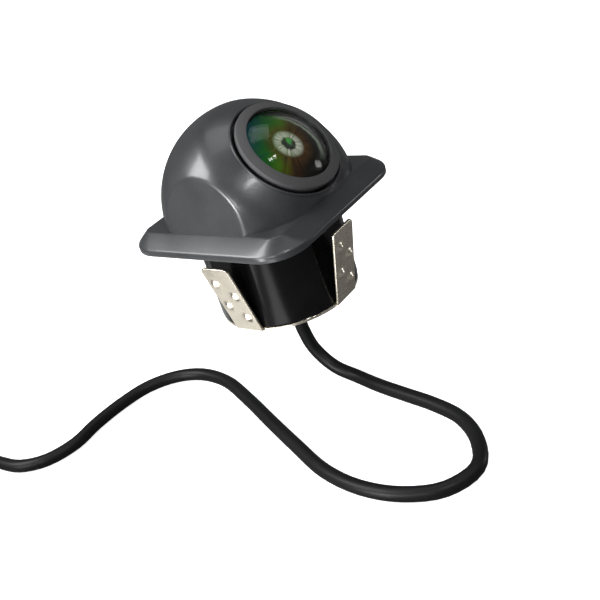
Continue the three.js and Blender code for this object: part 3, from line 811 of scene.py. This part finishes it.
def make_barrel():
    """A cup with a neck below for the cable, and a lip that stands inside the head."""
    profile = [(10, 1.1, 0), (10.8, 1.1, 0.1), (10.8, 0.0, 0), (BARREL_R, 0.0, 0)]
    profile += [(BARREL_R, z, 0) for z in (-0.8, -1.3, -1.5, -1.6, -1.7, -1.8, -1.9, -2.1, -6, -11)]
    profile += [(BARREL_R, BARREL_BOTTOM, 0.35), (BOSS_R, BARREL_BOTTOM, 0.1), (BOSS_R, -18, 0.2),
                (2, -18, 0.1), (2, -14.2, 0), (10.9, -14.2, 0.3), (10.9, -0.9, 0), (10, -0.9, 0)]
    add_piece("barrel", *turned(profile, 288, soft=0.1, shape=barrel_radius), "barrel_finish",
              replaces=["rear_housing"])


make_barrel()


# ---------------------------------------------------------------- spring bracket

NOTCH_DISTANCE = 11.3
NOTCH_DEPTH = 1.2
NOTCH_GAP = 0.3
NOTCH_FADE = 0.25
RIM_FROM = 9.0


def disc_radius(angle, r, _):
    """The disc's rim is notched behind each leaf."""
    if r < RIM_FROM:
        return r
    away = off_quarter(angle)
    past = abs(r * math.tan(away)) - LEAF_WIDTH / 2 - NOTCH_GAP
    return min(r, NOTCH_DISTANCE / math.cos(away) + NOTCH_DEPTH * smooth_step(past / NOTCH_FADE))


def make_bracket_disc():
    rim = BARREL_R - 0.1
    profile = [(BOSS_R + 0.2, BRACKET_BOTTOM), (rim, BRACKET_BOTTOM), (rim, BRACKET_TOP),
               (BOSS_R + 0.2, BRACKET_TOP)]
    add_piece("bracket_disc", *turned(profile, 288, soft=0.1, shape=disc_radius), "bracket",
              replaces=["spring_bracket"])


LEAF_COLUMNS = 44
LEAF_ROWS = 96
EDGE = 0.14
EDGE_LEFT = 0.1  # share of the sheet's thickness, squared, that is left at its very edge
BUMP_R = 1.2
BUMP_RISE = 0.55
BUMP_STEEPNESS = 1.15
BUMP_BEHIND = 0.85  # how deep a bump is behind, for its height in front
ROW_CROWDING = 1.25
COLUMN_CROWDING = 1.6
# The foot turns in under the barrel to meet the disc: distance out, height, and the way its
# outside faces.
LEAF_FOOT = [(11.05, -16.05, (0, 0, -1)), (11.4, -16.05, (0, 0, -1)), (11.68, -16.0, (0, -0.5, -0.87))]


def leaf_section(u, v, outline):
    """Half the sheet's thickness at a point, and how far the bumps push it out."""
    inset = max(0.0, min(outline - abs(u), LEAF_LENGTH - v))
    t = min(1.0, inset / EDGE)
    half = SHEET / 2 * math.sqrt(max(0.0, 1 - (1 - t) ** 2) * (1 - EDGE_LEFT) + EDGE_LEFT)
    push = 0.0
    for side, height in BUMPS:
        away = math.hypot(u - side * BUMP_ACROSS, v - height)
        push += BUMP_RISE * smooth_step((BUMP_R - away) / BUMP_R * BUMP_STEEPNESS)
    return half, push


def leaf_outline(v):
    """Half the leaf's width at height v."""
    over = v - (LEAF_LENGTH - LEAF_CORNER)
    if over <= 0:
        return LEAF_WIDTH / 2
    return LEAF_WIDTH / 2 - LEAF_CORNER + math.sqrt(max(0.0, LEAF_CORNER ** 2 - over ** 2))


def spaced(count):
    """Places from -1 to 1 that crowd towards both ends."""
    places = np.linspace(-1, 1, count)
    return np.sign(places) * (1 - (1 - np.abs(places)) ** COLUMN_CROWDING)


def make_leaf(name, ex, ey):
    """A leaf of the spring bracket, from its foot up, as rings round the sheet."""
    turn = Matrix.Rotation(math.atan2(ex, -ey), 4, "Z")
    leaf = turn @ Matrix.Translation((0, -LEAF_HINGE_R, LEAF_HINGE_Z)) @ Matrix.Rotation(LEAF_FLARE, 4, "X")
    rows = LEAF_LENGTH * (1 - (1 - np.linspace(0, 1, LEAF_ROWS)) ** ROW_CROWDING)
    columns = spaced(LEAF_COLUMNS)
    side = turn @ Vector((1, 0, 0))
    rings = []
    for distance, height, facing in LEAF_FOOT:
        centre = turn @ Vector((0, -distance, height))
        out = (turn @ Vector(facing)).normalized()
        ring = [centre + side * (c * LEAF_WIDTH / 2) + out * SHEET / 2 for c in columns]
        ring += [centre + side * (c * LEAF_WIDTH / 2) - out * SHEET / 2 for c in columns[::-1]]
        rings.append(ring)
    for v in rows:
        outline = leaf_outline(v)
        outer, inner = [], []
        for c in columns:
            u = c * outline
            half, push = leaf_section(u, v, outline)
            outer.append(leaf @ Vector((u, -half - push, v)))
            inner.append(leaf @ Vector((u, half - push * BUMP_BEHIND, v)))
        rings.append(outer + inner[::-1])
    points, faces = loft(rings)
    add_piece(f"spring_leaf_{name}", points, faces, "bracket", body=f"leaf_{name}_body",
              replaces=[f"leaf_{name}"], sharp=60.0)


NUT_FLATS = 10.0
NUT_TOP = BRACKET_BOTTOM - 0.05
NUT_BOTTOM = NUT_TOP - 1.4
NUT_BORE = BOSS_R + 0.15
NUT_SKIN = 0.6
CHAMFER_R = 4.85
CHAMFER_SLOPE = 1.7  # how much wider the chamfer's 30 degree cone gets for each millimetre


def hexagon_radius(angle, r, z):
    """The nut's outside is a hexagon, with both ends chamfered by a cone."""
    if r < NUT_FLATS / 2 - NUT_SKIN:
        return r
    away = (angle + math.pi / 6) % (math.pi / 3) - math.pi / 6
    cone = CHAMFER_R + min(z - NUT_BOTTOM, NUT_TOP - z) * CHAMFER_SLOPE
    return min(r / math.cos(away), cone)


def make_bracket_nut():
    outside = [(NUT_FLATS / 2, z, 0) for z in np.linspace(NUT_BOTTOM, NUT_TOP, 12)]
    profile = [(NUT_BORE, NUT_BOTTOM + 0.2, 0), (NUT_BORE + 0.2, NUT_BOTTOM, 0)] + outside
    profile += [(NUT_BORE, NUT_TOP, 0)]
    add_piece("hex_nut", *turned(profile, 144, shape=hexagon_radius), "bracket", replaces=["bracket_nut"],
              sharp=25.0)


def make_grommet():
    profile = [(0, -20.8, 0), (1.42, -20.8, 0.12), (1.75, -19.9, 0.3), (2.1, -18.95, 0.15),
               (3.2, -18.85, 0.25), (3.2, -18.05, 0.05), (1.9, -18.05, 0), (1.9, -14.15, 0),
               (2.9, -14.15, 0.1), (2.9, -13.6, 0.1), (0, -13.6, 0)]
    add_piece("grommet", *turned(profile, 72), "rubber", replaces=["cable_grommet"])


make_bracket_disc()
for leaf_name, leaf_x, leaf_y in LEAVES:
    make_leaf(leaf_name, leaf_x, leaf_y)
make_bracket_nut()
make_grommet()


# ---------------------------------------------------------------- coil tie and plug

TIE_GAP = 0.15
TIE_CORNER = 1.2
TIE_LIFT = 0.02
# Round the strap's section: distance along its width, and out from the coil.
TIE_SECTION = [(-1.5, 0.15), (-1.38, 0.02), (1.38, 0.02), (1.5, 0.15), (1.5, 0.45), (1.38, 0.58),
               (-1.38, 0.58), (-1.5, 0.45)]


def tie_path():
    """Up the coil's inner side, over its top and down its outer side."""
    inner, outer = COIL_INNER_SIDE - TIE_GAP, COIL_OUTER_SIDE + TIE_GAP
    top = FLOOR_Z + 4 * CABLE_R + TIE_GAP
    bends = np.linspace(0, math.pi / 2, 7)
    path = [(inner, FLOOR_Z + TIE_LIFT), (inner, top - TIE_CORNER)]
    path += [(inner + TIE_CORNER * (1 - math.cos(a)), top - TIE_CORNER + TIE_CORNER * math.sin(a))
             for a in bends[1:]]
    path += [(outer - TIE_CORNER * (1 - math.sin(a)), top - TIE_CORNER + TIE_CORNER * math.cos(a))
             for a in bends]
    return path + [(outer, FLOOR_Z + TIE_LIFT)]


def make_tie():
    """A strap over the coil, seen as a rounded band."""
    path = tie_path()
    rings = []
    for i, (y, z) in enumerate(path):
        before, after = path[max(i - 1, 0)], path[min(i + 1, len(path) - 1)]
        run = Vector((0, after[0] - before[0], after[1] - before[1])).normalized()
        out = Vector((1, 0, 0)).cross(run)
        rings.append([Vector((COIL_X + x, COIL_Y + y, z)) + out * t for x, t in TIE_SECTION])
    return add_piece("strap", *loft(rings), "black_plastic", replaces=["coil_tie"], sharp=60.0)


# The plug's lengths run along it from the cable's end of the boot.
BOOT_LENGTH = 8.7
BOOT_RIBS = 4
BOOT_RIB_PITCH = 1.75
BOOT_TIP_R = 1.5
BOOT_SPREAD = 1.9
SEAT = 19.3
NUT_OUTER_R = 7.3
GRIP_START, GRIP_END = 18.2, 25.8
GRIP_FADE = 0.5
GRIP_DEPTH = 0.32
GRIP_RIDGES = 36
THREAD_R = 6.6
THREAD_TURNS = 7
PIN_COUNT = 4
PIN_CIRCLE_R = 2.0


def plug_piece(name, profile, around, slot, node_name):
    """A turned part of the plug that stands for one CAD node."""
    return add_piece(name, *turned(profile, around, PLUG_MATRIX), slot, replaces=[node_name])


def make_boot():
    """The ribbed sleeve that keeps the cable from kinking."""
    boot = [(0, 0, 0), (BOOT_TIP_R, 0, 0.15)]
    for i in range(BOOT_RIBS):
        z = 1.1 + BOOT_RIB_PITCH * i
        r = BOOT_TIP_R + BOOT_SPREAD * z / BOOT_LENGTH
        boot += [(r + 0.15, z, 0.1), (r + 0.15, z + 1.0, 0.1)]
        boot += [(r - 0.12, z + 1.15, 0.1), (r - 0.06, z + 1.6, 0.1)]
    boot += [(3.4, 8.1, 0.1), (3.4, BOOT_LENGTH, 0.1), (0, BOOT_LENGTH, 0)]
    return plug_piece("strain_relief", boot, 64, "rubber", "plug_boot")


def make_shell():
    """The plug's body: a grip with one groove, a collar that holds the nut, and an open front."""
    shell = [(0, 9), (4.6, 9, 0.3), (5.6, 10, 0.4), (5.6, 12.2, 0.1), (5.35, 12.4, 0.1), (5.35, 13.6, 0.1),
             (5.6, 13.8, 0.1), (5.6, 16, 0.15), (4.9, 16), (4.9, 18), (6.2, 18), (6.2, 19), (4.9, 19),
             (4.9, 27, 0.15), (4.3, 27, 0.1), (4.3, 19), (0, 19, 0)]
    return plug_piece("connector_shell", shell, 96, "black_plastic", "plug_shell")


def make_contacts():
    """The pin carrier, the seal round it and the pins."""
    insert = [(0, SEAT, 0), (4, SEAT, 0.1), (4, 21.8, 0.25), (0, 21.8, 0)]
    seal = [(5.15, SEAT, 0.3), (6, SEAT, 0.3), (6, SEAT + 0.9, 0.3), (5.15, SEAT + 0.9, 0.3)]
    pin = [(0, 22.1, 0), (0.45, 22.1, 0.05), (0.45, 26.2, 0.35), (0, 26.2, 0)]
    pieces = [plug_piece("pin_carrier", insert, 72, "black_plastic", "plug_insert"),
              plug_piece("face_seal", seal, 72, "rubber", "plug_seal")]
    for i in range(PIN_COUNT):
        angle = math.pi / 4 + i * 2 * math.pi / PIN_COUNT
        offset = (PIN_CIRCLE_R * math.cos(angle), PIN_CIRCLE_R * math.sin(angle), 0)
        place = PLUG_MATRIX @ Matrix.Translation(offset)
        pieces.append(add_piece(f"pin_{i + 1}", *turned(pin, 24, place), "contacts",
                                replaces=[f"contact_pin_{i + 1}"]))
    return pieces


def knurled(angle, r, z):
    """Straight grip ridges round the middle of the coupling nut."""
    if r < NUT_OUTER_R - 0.2 or not GRIP_START < z < GRIP_END:
        return r
    fade = smooth_step((z - GRIP_START) / GRIP_FADE) * smooth_step((GRIP_END - z) / GRIP_FADE)
    ridge = 0.5 - 0.5 * math.cos(angle * GRIP_RIDGES)
    return r - GRIP_DEPTH * fade * ridge ** 1.5


def make_coupling_nut():
    """The knurled nut that turns on the shell, with a thread shown as rings inside."""
    nut = [(5.2, 16.4, 0.1), (6.9, 16.4, 0.2), (NUT_OUTER_R, 16.9, 0.2)]
    nut += [(NUT_OUTER_R, z, 0) for z in np.linspace(17.9, 26.1, 22)]
    nut += [(NUT_OUTER_R, 27.6, 0.2), (6.9, 28, 0.15), (THREAD_R, 28, 0.1)]
    for i in range(THREAD_TURNS):
        z = 27.4 - i
        nut += [(THREAD_R, z, 0.05), (THREAD_R + 0.15, z - 0.25, 0.05)]
        nut += [(THREAD_R + 0.15, z - 0.5, 0.05), (THREAD_R, z - 0.75, 0.05)]
    nut += [(THREAD_R, 17.6, 0.05), (5.2, 17.6, 0.05)]
    return add_piece("screw_nut", *turned(nut, 288, PLUG_MATRIX, shape=knurled), "nut_metal",
                     body="coupling_nut_body", replaces=["coupling_nut"], sharp=30.0)


cord_pieces = [make_tie(), make_boot(), make_shell()] + make_contacts() + [make_coupling_nut()]


# ---------------------------------------------------------------- CAD nodes that stay

def finish_cad_nodes():
    """Give each shown CAD node the finish of its slot in the record."""
    slots = {entry["node"]: entry["material_slot"] for entry in frame["record"]["subparts"]}
    for name, piece in frame["nodes"].items():
        piece.data.materials.clear()
        piece.data.materials.append(MATERIALS[slots[name]])


# ---------------------------------------------------------------- floor and light

FLOOR_R = 6.0  # metres
FLOOR_GAP = 0.05
FLOOR_SEEN = 0.85
FLOOR_REFLECTED = 0.16
WORLD_LIGHT = 0.14
CARD_AIM = (0, 0, FLOOR_Z + 2)


def make_floor():
    """A pale floor. What the object reflects of it is dimmer than what the camera sees."""
    mesh = bpy.data.meshes.new("floor")
    made = bmesh.new()
    bmesh.ops.create_circle(made, cap_ends=True, segments=96, radius=FLOOR_R)
    made.to_mesh(mesh)
    made.free()
    floor = bpy.data.objects.new("floor", mesh)
    floor.location.z = (FLOOR_Z - FLOOR_GAP) * MM
    bpy.context.scene.collection.objects.link(floor)
    mat, tree, shader = material("studio_floor")
    seen = tree.nodes.new("ShaderNodeLightPath").outputs["Is Camera Ray"]
    tint = ramp(tree, seen, [(0.0, grey(FLOOR_REFLECTED)), (1.0, grey(FLOOR_SEEN))])
    tree.links.new(tint, shader.inputs["Base Color"])
    glow = maths(tree, "MULTIPLY", seen, FLOOR_SEEN)
    tree.links.new(glow, shader.inputs["Emission Strength"])
    shader.inputs["Emission Color"].default_value = (1, 1, 1, 1)
    shader.inputs["Roughness"].default_value = 0.3
    shader.inputs["Specular IOR Level"].default_value = 0.3
    mesh.materials.append(mat)


def area_light(name, azimuth, elevation, distance, width, height, power, aim=(0, 0, 0), upwards=False):
    """A soft rectangular light on a sphere round aim, facing aim or straight up. Lengths in millimetres."""
    data = bpy.data.lights.new(name, "AREA")
    data.shape = "RECTANGLE"
    data.size = width * MM
    data.size_y = height * MM
    data.energy = power
    light = bpy.data.objects.new(name, data)
    bpy.context.scene.collection.objects.link(light)
    a, e = math.radians(azimuth), math.radians(elevation)
    aim = Vector(aim) * MM
    direction = Vector((math.cos(e) * math.cos(a), math.cos(e) * math.sin(a), math.sin(e)))
    light.location = aim + direction * distance * MM
    if upwards:
        turn = Matrix.Rotation(a, 4, "Z") @ Matrix.Rotation(math.pi, 4, "X")
        light.rotation_euler = turn.to_euler()
    else:
        light.rotation_euler = direction.to_track_quat("Z", "Y").to_euler()
    light.visible_camera = False


def make_lights():
    """A dim surround, soft lights round the object and pale cards by the floor."""
    world = bpy.data.worlds.new("studio")
    bpy.context.scene.world = world
    world.use_nodes = True
    background = world.node_tree.nodes["Background"]
    background.inputs["Color"].default_value = (1, 1, 1, 1)
    background.inputs["Strength"].default_value = WORLD_LIGHT
    area_light("key", 135, 46, 420, 210, 210, 1.9)
    area_light("fill", -60, 50, 500, 300, 300, 0.27)
    area_light("top", 40, 75, 450, 250, 250, 0.38)
    area_light("side", 168, 8, 320, 90, 60, 0.85)
    area_light("front", -118, 48, 400, 100, 34, 0.4)
    area_light("lip", -165, 24, 400, 90, 90, 0.4)
    area_light("low_right", -40, -2, 260, 34, 34, 0.042, aim=(0, -13, -9))
    # Pale cards just above the floor, which the leaves, the flange's edge and the barrel reflect.
    area_light("left_card", 135, 0, 60, 90, 90, 0.013, aim=CARD_AIM, upwards=True)
    area_light("band_card", -160, 0, 62, 60, 12, 0.012, aim=CARD_AIM, upwards=True)
    area_light("corner_card", 176, 0, 90, 26, 26, 0.045, aim=CARD_AIM, upwards=True)
    bpy.context.scene.view_settings.view_transform = "Standard"


make_floor()
make_lights()
finish_cad_nodes()
